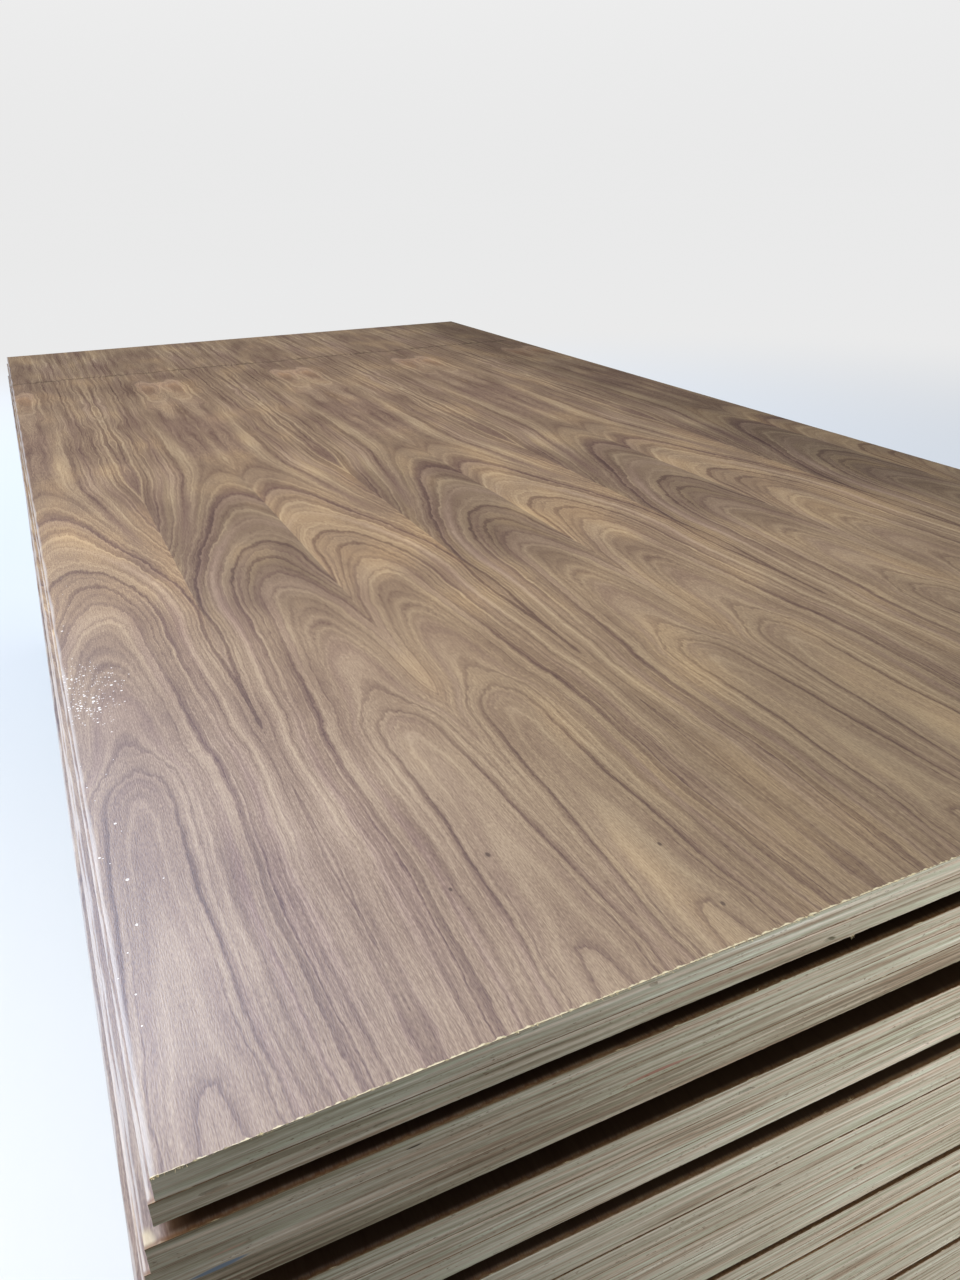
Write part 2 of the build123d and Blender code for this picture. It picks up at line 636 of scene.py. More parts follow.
def specks(tree, place, size, share):
    """1 inside small scattered spots, of which only a share of the cells holds one."""
    node = tree.nodes.new("ShaderNodeTexVoronoi")
    tree.links.new(at(tree, place, (size, size, 1)), node.inputs["Vector"])
    node.inputs["Scale"].default_value = 1.0
    split = tree.nodes.new("ShaderNodeSeparateColor")
    tree.links.new(node.outputs["Color"], split.inputs[0])
    pick, wide = [Amount(tree, socket) for socket in split.outputs][:2]
    reach = wide * speck_spread + smallest_speck
    inside = Amount(tree, node.outputs["Distance"]).math("LESS_THAN", reach)
    return inside * pick.math("LESS_THAN", share)


# %% [markdown]
# ## Colours
# Colours are written as they would be read off a colour chart, 0 to 255, and changed to
# the linear values that a shader works with. Blending two of them is one more node. A
# tint is a colour that another one is multiplied by, so it holds plain factors instead.

# %% Colours
def chart(red, green, blue):
    """A chart colour as the linear colour of a shader."""
    parts = [value / 255 for value in (red, green, blue)]
    return (*[v / 12.92 if v <= 0.04045 else ((v + 0.055) / 1.055) ** 2.4 for v in parts], 1.0)


def blend(tree, share, first, second, kind="MIX"):
    """A blend of two colours, where each is a chart colour or a socket."""
    node = tree.nodes.new("ShaderNodeMix")
    node.data_type = "RGBA"
    node.blend_type = kind
    plug(tree, share, node.inputs[0])
    sockets = [socket for socket in node.inputs if socket.type == "RGBA"]
    plug(tree, first, sockets[0])
    plug(tree, second, sockets[1])
    return [socket for socket in node.outputs if socket.type == "RGBA"][0]


def tinted(tree, share, colour, factors):
    """A colour multiplied by factors for red, green and blue, where a share is 1."""
    return blend(tree, share, colour, (*factors, 1), "MULTIPLY")


def shades(tree, amount, stops):
    """Colours in a row, picked by an amount from 0 to 1."""
    node = tree.nodes.new("ShaderNodeValToRGB")
    ramp = node.color_ramp
    for position, colour in stops[1:-1]:
        ramp.elements.new(position).color = colour
    ramp.elements[0].position, ramp.elements[0].color = stops[0]
    ramp.elements[-1].position, ramp.elements[-1].color = stops[-1]
    plug(tree, amount, node.inputs[0])
    return node.outputs[0]


print("middle grey of the chart is", round(chart(128, 128, 128)[0], 3), "to a shader")


# %% A finish
def finish(name):
    """A new material, its tree and its main shader."""
    material = bpy.data.materials.new(name)
    material.use_nodes = True
    tree = material.node_tree
    return material, tree, tree.nodes["Principled BSDF"]


def dent(tree, shader, height, depth):
    """Let a surface catch the light as if it were uneven by so many millimetres."""
    node = tree.nodes.new("ShaderNodeBump")
    node.inputs["Distance"].default_value = depth * MM
    node.inputs["Strength"].default_value = 1.0
    plug(tree, height, node.inputs["Height"])
    tree.links.new(node.outputs[0], shader.inputs["Normal"])


# %% [markdown]
# ## The figure of the veneer
# The rings of a tree are cones round its pith. A flat knife that passes the pith at some
# distance meets every ring along an arch, and the arches nest like those of a cathedral
# window. At a distance `aside` from the line over the pith, the ring that is cut has the
# radius sqrt(aside^2 + below^2), where `below` is how deep the pith lies there. So two
# curves along the board, the line over the pith and its depth, give the whole figure.
# The leaves are sliced one after the other and opened like a book, so every second one
# is a mirror image: one leaf is drawn, and folded back and forth across the board.

# %% Leaves and pith, in millimetres
leaf_width = 146.75
first_joint = -9.0
pith_line = [
    (0, 42), (40, 40), (100, 39), (200, 40), (300, 43), (372, 46), (528, 46), (600, 51),
    (660, 54), (722, 48), (784, 42), (829, 37), (925, 33), (1000, 30), (1200, 26),
    (2440, 26),
]
pith_depth = [
    (0, 9), (36, 13.5), (60, 18), (140, 21), (200, 22.8), (260, 24.6), (312, 28.5),
    (345, 36.5), (372, 41), (440, 45), (500, 49.5), (600, 58), (671, 66), (722, 71.5),
    (760, 76.5), (784, 80.5), (829, 88), (854, 93), (945, 103), (1030, 110), (1200, 118),
    (1700, 118), (2440, 124),
]
print("leaves across the board:", round(boards[0].width / MM / leaf_width, 1))

# %% [markdown]
# ## Knots and the wave
# A branch that starts beside the leaf pulls the rings in round it, and leaves a knot in
# every leaf at the same place, mirrored. Further on, a wave in the trunk has shifted all
# the rings at once, which shows as a thin line that runs across all the leaves.

# %% Knots and the wave, in millimetres
knot_across = 20
knot_width = 34
knot_reach = [(0, 8), (1500, 2.4), (1665, 1.3), (1865, 0), (1925, -1.4), (2100, -6), (2440, -9)]
knot_uneven = (12, 0.4)        # how much sway moves a knot aside, and ahead in the same reach
knot_pull = 8
wave_place = 2030
wave_half = 3
wave_push = 7
wave_sway = 14


def knot_nearness(folded, along, sway):
    """1 in the middle of a knot, and 0 well away from it."""
    aside = (folded - knot_across + sway * knot_uneven[0]) / knot_width
    ahead = along.curve(knot_reach) + sway * knot_uneven[1]
    return ((aside * aside + ahead * ahead) * -1).math("EXPONENT")


# %% Rings of the walnut, in millimetres
sway_size = (40, 110)          # wide, slow bends of the rings
sway_aside = 2.2
jag_size = (4, 16)             # the fine zigzag of a ring
jag_aside = 0.5
jag_ahead = 3
lift_size = (18, 45)           # uneven tips of the arches
lift_ahead = 5


def rings(tree, shifted, along, number):
    """Distance from the leaf's joint, radius of the ring, nearness of a knot, and sway."""
    folded = (shifted - first_joint).math("PINGPONG", leaf_width)
    sway = chance(tree, (folded, along, number), sway_size, 2)
    jag = chance(tree, (folded, along, number), jag_size, 2)
    lift = chance(tree, (folded, along, number), lift_size, 2)
    knot = knot_nearness(folded, along, sway)
    wave = (along + sway * wave_sway).span(wave_place - wave_half, wave_place + wave_half)
    along = along + lift * lift_ahead + jag * jag_ahead
    aside = folded + sway * sway_aside + jag * jag_aside - along.curve(pith_line)
    below = along.curve(pith_depth)
    radius = (aside * aside + below * below).math("SQRT")
    return folded, radius - knot * knot_pull + wave * wave_push, knot, sway


# %% [markdown]
# ## Dark and light wood
# Every year of a walnut's growth starts with a dark line of open pores, and pales bit by
# bit. So a ring is a saw-tooth: a sharp dark edge and a slow fade outwards. The years of
# this flitch are listed from the pith outwards, each with the radius where it starts and
# how dark its first wood is. Fine lines within a year are left to chance, read along the
# radius, so that whatever chance draws follows the arches too.

# %% Years of growth
years = [
    (0, 0.0), (9, 0.05), (13.5, 1.0), (17, 0.1), (23, 0.25), (29, 0.7), (33.5, 0.5),
    (41, 0.85), (46, 0.3), (51.5, 0.8), (57, 0.25), (61.8, 0.6), (66.2, 0.75), (72.3, 1.0),
    (76.5, 0.6), (80.5, 0.75), (84, 0.25), (88, 0.7), (93, 0.15), (97.5, 0.2), (101, 0.45),
    (104, 0.3), (107.5, 1.0), (112, 0.3), (118, 0.55), (122, 0.3), (126, 0.55), (131, 0.3),
    (136, 0.55), (141, 0.3), (147, 0.6), (153, 0.3), (160, 0.5), (170, 0.3),
]
year_of_radius = [(radius, count) for count, (radius, _) in enumerate(years)]
first_wood = [(count + 0.5, dark) for count, (_, dark) in enumerate(years)]
first_part = 0.14        # the part of a year in which its dark line builds up
fading = 1.9


def growth(radius):
    """How dark the pores of a year are at a radius, from 0 to 1."""
    year = radius.curve(year_of_radius, "VECTOR")
    grown = year.math("FRACT")
    dark = (year.math("FLOOR") + 0.5).curve(first_wood, "VECTOR")
    return grown.less(1).math("POWER", fading) * grown.span(0.0, first_part) * dark


print("years in the flitch:", len(years))

# %% [markdown]
# ## Layers of the grain
# Noise that is stretched along the board is the usual way to draw wood, but it gives
# plain stripes. The tone here is a sum of layers instead, and most of them are read along
# the rings: fine and broad lines, the years, and the body colour of the heartwood, which
# changes in wide bands. Others are read along the leaf: fibres, and straight lines where
# the cut runs deep in the trunk and the rings are too wide to show any. Pores and clouds
# lie over all of it.

# %% Read the walnut
Wood = namedtuple("Wood", "across along number first shifted folded radius knot sway turned rise")
leaf_shift = 40          # how far a board's leaves lie beside those of the board above
steep_grain = [
    (0, 0), (430, 0), (600, 0.6), (700, 1), (900, 0.95), (1060, 0.25), (1200, 0.1),
    (2440, 0.1),
]


def read_wood(tree):
    """Where a point lies in its board, in its leaf and in the tree."""
    place = place_of(tree)
    across = place.across
    along = place.along
    number = place.number - 1
    first = number.math("LESS_THAN", 0.5)
    shifted = across + number * leaf_shift
    folded, radius, knot, sway = rings(tree, shifted, along, number)
    turned = ((shifted - first_joint) / leaf_width).math("FLOOR").math("MODULO", 2.0)
    rise = along.curve(steep_grain)
    return Wood(across, along, number, first, shifted, folded, radius, knot, sway, turned, rise)


# %% Layers of the walnut, with the size of a spot across and along the board
Layers = namedtuple("Layers", "fine_rings broad_rings fibres straight pores clouds late")
fine_ring = (1.7, 300)
broad_ring = (6, 420)
fibre = (0.9, 20)
straight_line = (2.6, 240)
pore = (0.7, 4)
cloud = (60, 160)
frayed_line = (3, 9)
frayed_by = 0.3
straight_sway = 6


def read_layers(tree, wood):
    """The layers of chance and of growth that the grain is made of."""
    along = wood.along
    number = wood.number
    in_rings = (wood.radius, along, number)
    in_leaf = (wood.folded, along, number)
    swayed = (wood.folded + wood.sway * straight_sway, along, number)
    return Layers(
        fine_rings=chance(tree, in_rings, fine_ring, 2),
        broad_rings=chance(tree, in_rings, broad_ring, 1),
        fibres=chance(tree, in_leaf, fibre, 2),
        straight=chance(tree, swayed, straight_line, 2),
        pores=chance(tree, (wood.across, along, number), pore, 1),
        clouds=chance(tree, (wood.shifted, along, number), cloud, 1),
        late=growth(wood.radius + chance(tree, in_leaf, frayed_line, 1) * frayed_by),
    )


# %% Tone of the walnut: how much each layer adds to it
fine_share = 0.11
broad_share = 0.12
fibre_share = 0.09
cloud_share = 0.08
pore_share = 0.1
straight_share = 0.11
body_share = 0.2
late_share = 0.28
middle_tone = 0.53
quiet_rings = (17, 32)         # radii from which the first rings come alive
quiet_share = 0.3
deep_cut = (1000, 1300)        # where along the board the straight lines come in
body_tones = [
    (0, 0.7), (12, 0.6), (15, 0.2), (19, 0.5), (23, 0.55), (28, 0.4), (32, 0.0), (38, 0.4),
    (43, 0.1), (48, 0.05), (56, 0.4), (60, 0.2), (65, 0.3), (70, -0.1), (78, 0.1),
    (88, 0.15), (94, 0.45), (100, 0.1), (108, -0.35), (114, 0.05), (130, -0.1), (170, 0.0),
]
walnut_shades = [
    (0.0, chart(76, 57, 46)), (0.25, chart(106, 82, 65)), (0.5, chart(138, 113, 87)),
    (0.75, chart(168, 143, 110)), (1.0, chart(194, 169, 132)),
]


def walnut_tone(wood, layers):
    """How pale the wood is, mostly from 0 to 1. The first rings are the quietest."""
    lively = wood.radius.span(*quiet_rings) * (1 - quiet_share) + quiet_share
    tone = (layers.fine_rings * fine_share + layers.broad_rings * broad_share) * lively
    tone = tone + layers.fibres * fibre_share + layers.clouds * cloud_share
    tone = tone + layers.pores * pore_share
    tone = tone + layers.straight * wood.along.span(*deep_cut) * straight_share
    return tone + wood.radius.curve(body_tones) * body_share - layers.late * late_share + middle_tone


# %% [markdown]
# ## Tints
# Raw sanded walnut runs from a purplish brown to a pale gold. The dark lines of the years
# and some bands of rings are mauve. Where the grain rises steeply, the leaves that lie the
# other way up are painted mauve and their neighbours golden: a painted reflection, since
# each leaf reflects the light another way. The near left part has a cool tint, which is a
# painted glare, and the far part is a little redder. The wood round a knot is orange. One
# could pick a second row of colours for each of these, but the lines of the grain would
# then change from one to the next. A weak tint over the tone keeps them as they are.

# %% Tints of the walnut, as factors for red, green and blue
mauve_tint = (0.86, 0.80, 0.92)
# cool tint of the painted glare
glare_cool_tint = (0.93, 0.97, 1.25)
red_tint = (1.0, 0.985, 1.0)
knot_tint = (1.12, 0.93, 0.84)
gold_tint = (1.09, 1.01, 0.89)
print("tints: mauve, cool, red, knot and gold")

# %% How strong each tint is, and where it lies in millimetres
mauve_band = (11, 330)         # size of a band across the rings and along the board
mauve_in_bands = 0.5
mauve_in_years = 0.35
# painted reflection: mauve in the turned leaves where the grain rises
turned_reflection_mauve = 0.5
gold_in_clouds = 0.4
gold_lost_to_mauve = 0.5
# painted reflection: gold in the leaves beside them
unturned_reflection_gold = 0.25
gold_everywhere = 0.07
# painted glare over the near left part
glare_across = (400, 40)        # from where it starts to where it is full
glare_along = (900, 100)
red_along = (600, 1500)
knot_hue = 0.35
knot_hue_in_rings = 0.4


def tint_walnut(tree, wood, layers, colour):
    """The hues over the face, with a painted glare and painted reflections, laid over its tone."""
    bands = chance(tree, (wood.radius, wood.along, wood.number), mauve_band, 1)
    mauve = bands * mauve_in_bands + layers.late * mauve_in_years
    mauve = (mauve + wood.turned * wood.rise * turned_reflection_mauve).math("MAXIMUM", 0.0)
    # painted glare, cool over the near left part
    cool = wood.across.span(*glare_across) * wood.along.span(*glare_along)
    gold = layers.clouds * gold_in_clouds - mauve * gold_lost_to_mauve
    gold = gold + wood.rise * wood.turned.less(1) * unturned_reflection_gold + gold_everywhere - cool
    orange = wood.knot * (layers.fine_rings * knot_hue_in_rings + knot_hue)
    colour = tinted(tree, mauve, colour, mauve_tint)
    colour = tinted(tree, cool, colour, glare_cool_tint)
    colour = tinted(tree, wood.along.span(*red_along), colour, red_tint)
    colour = tinted(tree, orange, colour, knot_tint)
    return tinted(tree, gold, colour, gold_tint)


# %% [markdown]
# ## Leaf by leaf
# A leaf that is turned over reflects the light another way, so every second leaf is
# painted darker where the grain rises steeply out of it, and every leaf a little lighter
# there: painted shade and painted highlight. The leaves at the far right are darker too,
# partly their own wood and partly painted shade. A patch near the near end and the far
# part of the face are painted darker, as painted shade. A dark line follows the wave in
# the trunk. These shades are multiplied and then laid over the tinted wood in one go.
# Almost no light gets into the gaps between the boards, which the photograph shows nearly
# black. So there the faces of the covered boards fade to a dark brown a few millimetres
# in: painted shade, which painted light makes paler towards the left and right ends.

# %% Shades of the leaves and the gaps
leaf_shade = [(0, 1), (720, 1), (880, 0.95), (1022, 0.87), (1110, 0.66), (1220, 0.6)]
# painted light: the painted shade of the gaps is paler towards both ends
gap_light = [(0, 2.6), (60, 1.9), (150, 1.0), (350, 1.0), (700, 1.5), (1220, 1.9)]
gap_shade_brown = chart(52, 35, 21)
gap_shade_share = 0.93
gap_along = (0.8, 4.5)         # from the near rim to where the gap is full dark
gap_across = (8, 14)
# painted shade on the turned leaves, and a painted highlight where the grain rises
turned_loss = 0.28
unturned_gain = 0.1
# painted shade near the near end, and towards the far end
near_shade_along = (480, 100)
near_shade_across = (140, 470)
near_shade_loss = 0.26
far_shade_along = (1500, 2400)
far_shade_loss = 0.12
wave_line = (10, 1)            # from the edge of the line to its middle
wave_loss = 0.4


def shade_walnut(tree, wood, colour):
    """Painted shade and light over the face: leaves, near end, far end and gaps; and the wave."""
    across = wood.across
    along = wood.along
    shade = across.curve(leaf_shade) * (wood.turned * wood.rise).less(turned_loss)
    shade = shade * (wood.rise * unturned_gain + 1)
    shade = shade * (along.span(*near_shade_along) * across.span(*near_shade_across)).less(near_shade_loss)
    shade = shade * along.span(*far_shade_along).less(far_shade_loss)
    from_wave = (along + wood.sway * wave_sway - wave_place).math("ABSOLUTE")
    shade = shade * from_wave.span(*wave_line).less(wave_loss)
    colour = blend(tree, 1.0, colour, shade, "MULTIPLY")
    # painted shade: the faces inside the gaps fade to a dark brown
    covered = wood.first.less(1) * along.span(*gap_along) * across.span(*gap_across)
    painted_gap_shade = blend(tree, 1.0, gap_shade_brown, across.curve(gap_light), "MULTIPLY")
    return blend(tree, covered * gap_shade_share, colour, painted_gap_shade)


# %% [markdown]
# ## Marks of the top board
# The top board carries the marks of its life. It has a few pin knots, the dark dots that
# thin twigs leave, and white dust lies in a patch near its left edge and in single
# specks along it. Both are drawn as spots, because they are too small for geometry.

# %% Pin knots and dust, in millimetres
Spot = namedtuple("Spot", "across along radius")
pin_knots = [Spot(230, 135, 2.2), Spot(195, 115, 1.6), Spot(335, 95, 1.8), Spot(336, 31, 1.8)]
dust_patch = Spot(12, 485, 46)
pin_knot_brown = chart(62, 44, 38)
dust_white = chart(228, 222, 214)
drawn_out = 0.6                # spots are longer along the grain
spot_core = 0.4                # the share of a spot's radius that is full


def spot(wood, mark):
    """1 in the middle of a spot, and 0 outside it."""
    aside = wood.across - mark.across
    ahead = (wood.along - mark.along) * drawn_out
    return (aside * aside + ahead * ahead).math("SQRT").span(mark.radius, mark.radius * spot_core)


# %% Marks on the walnut, in millimetres
pin_knot_share = 0.75
dust_share = 0.9
dust_sizes = (3.4, 1.8)        # of the cells that the coarse and the fine dust lie in
dust_in_patch = 0.3            # share of the cells that hold a speck
dust_along_edge = 0.012
dusty_across = (50, 4)
dusty_along = (900, 400)


def mark_walnut(tree, wood, colour):
    """Pin knots and dust, on the top board only."""
    dots = spot(wood, pin_knots[0])
    for mark in pin_knots[1:]:
        dots = dots.math("MAXIMUM", spot(wood, mark))
    colour = blend(tree, dots * wood.first * pin_knot_share, colour, pin_knot_brown)
    along_edge = wood.across.span(*dusty_across) * wood.along.span(*dusty_along)
    dusty = spot(wood, dust_patch) * dust_in_patch + along_edge * dust_along_edge
    place = (wood.across, wood.along, wood.number)
    coarse, fine = [specks(tree, place, size, dusty) for size in dust_sizes]
    dust = coarse.math("MAXIMUM", fine)
    return blend(tree, dust * wood.first * dust_share, colour, dust_white)


# %% [markdown]
# ## Worn rims and painted highlights
# The left arris is painted pale, widest on the top board: a painted highlight where the
# light catches it. Along the near rim the saw has torn the veneer back to the pale wood
# below it, by a millimetre or so, and further back in one stretch. The near rims of the
# covered boards are a warm brown, where the painted shade of the gaps begins, and the near
# left corner of the third one is painted pale: painted light that falls on it. A straight
# pale line would look like paint, so noise that is read along each rim moves the end of
# the wear and of the highlight in and out.

# %% Rims, in millimetres
# painted light on the near left corner of the third board
lit_corner = Spot(1, 2, 6)
lit_corner_board = 3
# painted highlight of the left arris
arris_highlight_pale = chart(206, 197, 190)
torn_pale = chart(216, 200, 160)
corner_light_pale = chart(204, 184, 148)
rim_brown = chart(118, 80, 44)
arris_highlight_share = 0.5
torn_share = 0.85
corner_light_share = 0.8
rim_brown_share = 0.8
print("the bare corner is on board", lit_corner_board)

# %% How far the wear and the painted highlight reach, in millimetres
arris_size = (60, 1)           # of the noise along the left arris
arris_uneven = 0.9
arris_inner = 0.6
arris_outer = 1.6
arris_extra = 1.8              # on the top board, where the painted highlight is widest
fray_size = (5, 1)             # of the noise along the near rim
torn_uneven = 0.9
torn_back = 0.3
ragged_start = (80, 120)
ragged_end = (480, 440)
ragged_back = 0.45
torn_line = (1.0, 0.3)
brown_uneven = 0.7
brown_line = (3.2, 0.8)
print("ragged stretch of the near rim: from", ragged_start[0], "to", ragged_end[0], "mm")


# %% Wear and painted light of the rims
def wear_and_light_rims(tree, wood, colour):
    """Torn and brown rims, a painted highlight on the left arris, and painted light on a corner."""
    across = wood.across
    along = wood.along
    number = wood.number
    arris_noise = chance(tree, (along, number, number), arris_size, 1)
    arris = wood.first * arris_extra + arris_outer
    # painted highlight along the left arris
    arris_highlight = (across + arris_noise * arris_uneven).span(arris, arris_inner)
    colour = blend(tree, arris_highlight * arris_highlight_share, colour, arris_highlight_pale)
    frayed = chance(tree, (across, number, number), fray_size, 2)
    ragged = across.span(*ragged_start) * across.span(*ragged_end)
    torn = along + frayed * torn_uneven + torn_back - ragged * ragged_back
    colour = blend(tree, torn.span(*torn_line) * torn_share, colour, torn_pale)
    # painted light on the near left corner of the third board
    lit = spot(wood, lit_corner) * number.near(lit_corner_board - 1, 0.5)
    colour = blend(tree, lit * corner_light_share, colour, corner_light_pale)
    brown_rim = (along + frayed * brown_uneven).span(*brown_line) * wood.first.less(1)
    return blend(tree, brown_rim * rim_brown_share, colour, rim_brown)


# %% [markdown]
# ## Gloss of raw wood
# The wood is hardly glossy, but at a low angle even raw wood shines like a mirror in a
# plain shader, and a long lift would fade to white. One could make it rougher, but then
# the soft glare at the near left corner would go too. So the gloss is let down as the
# face is seen more edge-on, and the pores make it uneven.

# %% Gloss of raw wood
gloss = 0.3
most_gloss = 0.35
gloss_facing = 0.69      # how squarely the near part of the face is seen
gloss_fall = 4.0
pore_depth = 0.022       # millimetres
face_roughness = 0.42
pore_roughness = 0.03


def soft_gloss(tree):
    """Level of gloss that fades as a surface is seen more edge-on."""
    weight = tree.nodes.new("ShaderNodeLayerWeight")
    weight.inputs["Blend"].default_value = 0.5
    square_on = Amount(tree, weight.outputs["Facing"]).less(1)
    faded = (square_on / gloss_facing).math("POWER", gloss_fall) * gloss
    return faded.math("MINIMUM", most_gloss)


# %% Walnut face
def walnut_face():
    """Sanded, unfinished walnut veneer."""
    material, tree, shader = finish("walnut_veneer")
    wood = read_wood(tree)
    layers = read_layers(tree, wood)
    colour = shades(tree, walnut_tone(wood, layers), walnut_shades)
    colour = tint_walnut(tree, wood, layers, colour)
    colour = shade_walnut(tree, wood, colour)
    colour = mark_walnut(tree, wood, colour)
    colour = wear_and_light_rims(tree, wood, colour)
    plug(tree, colour, shader.inputs["Base Color"])
    plug(tree, soft_gloss(tree), shader.inputs["Specular IOR Level"])
    roughness_of_face = layers.pores * pore_roughness + face_roughness
    plug(tree, roughness_of_face, shader.inputs["Roughness"])
    dent(tree, shader, layers.pores, pore_depth)
    return material


walnut = walnut_face()
print("nodes in the walnut finish:", len(walnut.node_tree.nodes))

# %% [markdown]
# ## The sawn edge
# The core is poplar, cream to pale grey-green, with pinkish plies here and there. Each
# ply shows its fibres as long soft streaks. Thin brown lines are glue and the painted
# shadow of a torn fibre, and small pits, where the saw tore the end grain, are painted
# brown in clusters as their shade.
# Each ply could get one even colour, but the plies of the photograph can hardly be told
# by their colour. So soft bands, a little thinner than a ply, wander along the edge, and
# the glue lines show only here and there. The upper boards each have a tone of their own.

# %% Tone of the poplar, with the size of a spot along and down the edge
Edge = namedtuple("Edge", "place run level streaks fine")
ripple = (70, 9)
soft_band = (140, 3.0)
hue_band = (210, 3.4)
streak = (85, 1.5)
fine_streak = (7, 0.5)
ripple_by = 0.5                # millimetres that the plies' lines ripple by
band_weight = 0.27
streak_weight = 0.11
fine_weight = 0.05
hue_weight = 0.9
more_pink = 0.1
board_tones = [
    (1, 0.04), (2, -0.13), (3, -0.1), (4, -0.11), (5, -0.28), (6, -0.07), (7, -0.1),
    (8, -0.03), (9, -0.03), (10, -0.06), (40, 0.0),
]
poplar_shades = [
    (0.0, chart(112, 97, 79)), (0.3, chart(156, 145, 125)), (0.55, chart(187, 181, 162)),
    (0.8, chart(209, 206, 190)), (1.0, chart(231, 229, 217)),
]
poplar_middle = 0.57
pink_tint = (1.08, 0.95, 0.93)
green_tint = (0.93, 1.0, 0.95)


def read_edge(tree):
    """Where a point lies in the edge, and the streaks of its plies."""
    place = place_of(tree)
    run = place.across + place.along
    ripples = chance(tree, (run, place.down, place.number), ripple, 1)
    level = place.down + ripples * ripple_by
    streaks = chance(tree, (run, level, place.number), streak, 1)
    fine = chance(tree, (run, level, place.number), fine_streak, 1)
    return Edge(place, run, level, streaks, fine)


def poplar(tree, edge):
    """The plain colour of the plies."""
    number = edge.place.number
    in_ply = (edge.run, edge.level, number)
    tone = chance(tree, in_ply, soft_band, 2) * band_weight + edge.streaks * streak_weight
    tone = tone + edge.fine * fine_weight + number.curve(board_tones) + poplar_middle
    hue = chance(tree, in_ply, hue_band, 1) * hue_weight
    colour = shades(tree, tone, poplar_shades)
    colour = tinted(tree, hue + more_pink, colour, pink_tint)
    return tinted(tree, hue * -1, colour, green_tint)


# %% Glue lines, painted fibre shadows and painted pits
fibre_shadow = (80, 1.9)
fibre_shadow_patch = (60, 4)
glue_break = (26, 0.6)       # along the edge in millimetres, and in plies
pit = (5, 1.2)
pit_cluster = (60, 8)
line_brown = chart(104, 92, 74)
# painted shade of the pits
pit_shade_brown = chart(104, 80, 60)
glue_line = (0.40, 0.5)        # in plies, from the middle of a ply to its glue
glue_seen = (-0.3, 0.7)
glue_share = 0.12
fibre_shadow_line = (0.07, 0.0)
fibre_shadow_seen = (0.2, 0.7)
fibre_shadow_share = 0.5
cluster_seen = (0.0, 0.5)
pit_seen = (0.5, 1.0)
pit_share = 0.7


def fine_lines(tree, edge, colour):
    """Glue lines and painted fibre shadows along the plies, and painted shade of pits in clusters."""
    place = edge.place
    in_ply = (edge.run, edge.level, place.number)
    from_middle = (place.ply.math("FRACT") - 0.5).math("ABSOLUTE")
    whole = chance(tree, (edge.run, place.ply, place.number), glue_break, 2)
    glue = from_middle.span(*glue_line) * whole.span(*glue_seen) * glue_share
    fibre_shadows = chance(tree, in_ply, fibre_shadow, 2).math("ABSOLUTE").span(*fibre_shadow_line)
    fibre_shadows = fibre_shadows * chance(tree, in_ply, fibre_shadow_patch, 1).span(*fibre_shadow_seen) * fibre_shadow_share
    colour = blend(tree, glue.math("MAXIMUM", fibre_shadows), colour, line_brown)
    clusters = chance(tree, (edge.run, place.down, place.number), pit_cluster, 1)
    pits = chance(tree, in_ply, pit, 2).span(*pit_seen) * clusters.span(*cluster_seen)
    return blend(tree, pits * pit_share, colour, pit_shade_brown)


# %% [markdown]
# ## Marks on the near edges
# Four marks on the upper near edges can be told one by one: a streak of red-brown wood, a
# rub of blue crayon with a pinkish strip above it, and a small open gap in a core, whose
# dark is painted shade. Chance would never put them in their places. So each is an oval
# on one board, with a rim that the streaks of the wood make uneven.

# %% Marks on the near edges, in millimetres
Mark = namedtuple("Mark", "board across down half tall share colour")
edge_marks = [
    Mark(4, 287, 13.6, 30, 1.2, 0.7, chart(150, 84, 66)),     # a red-brown streak
    Mark(4, 32, 16.3, 14, 1.7, 0.75, chart(92, 120, 150)),    # a rub of blue crayon
    Mark(4, 38, 6.5, 13, 0.7, 0.5, chart(190, 138, 122)),     # a pinkish strip
    Mark(3, 131, 7.5, 5, 0.8, 0.85, chart(56, 46, 38)),       # a small open gap, its shade painted dark
]
near_end = 8.0
mark_rim = (1.2, 0.4)          # from outside a mark to inside, in shares of its size
mark_uneven = 0.3


def mark_edges(tree, edge, colour):
    """The single marks of the upper near edges."""
    for mark in edge_marks:
        aside = (edge.place.across - mark.across) / mark.half
        below = (edge.level - mark.down) / mark.tall
        outward = aside * aside + below * below + edge.streaks * mark_uneven
        inside = outward.span(*mark_rim) * edge.place.number.near(mark.board, 0.5)
        inside = inside * edge.place.along.math("LESS_THAN", near_end)
        colour = blend(tree, inside * mark.share, colour, mark.colour)
    return colour


# %% [markdown]
# ## Rims and slots of the edge
# The walnut veneer shows as a thin brown line at the top of the edge, greyer on the top
# board, where it is dusty, and pale where a chip has gone. A slot between two strips of
# a ply is a real hole, and a dark brown in its depth is painted shade, which keeps it dark
# under any light.

# %% Edge finish
veneer_brown = chart(112, 78, 46)
dusty_veneer = chart(134, 122, 104)
chip_pale = chart(220, 206, 164)
# painted shade in the depth of a slot
slot_shade_brown = chart(46, 40, 32)
veneer_end = 0.95              # in plies
chip_seen = (0.08, 0.3)        # depths in millimetres
slot_seen = (1.5, 2.8)
rim_share = 0.8
edge_roughness = 0.85
edge_gloss = 0.2
fuzz_depth = 0.04              # millimetres


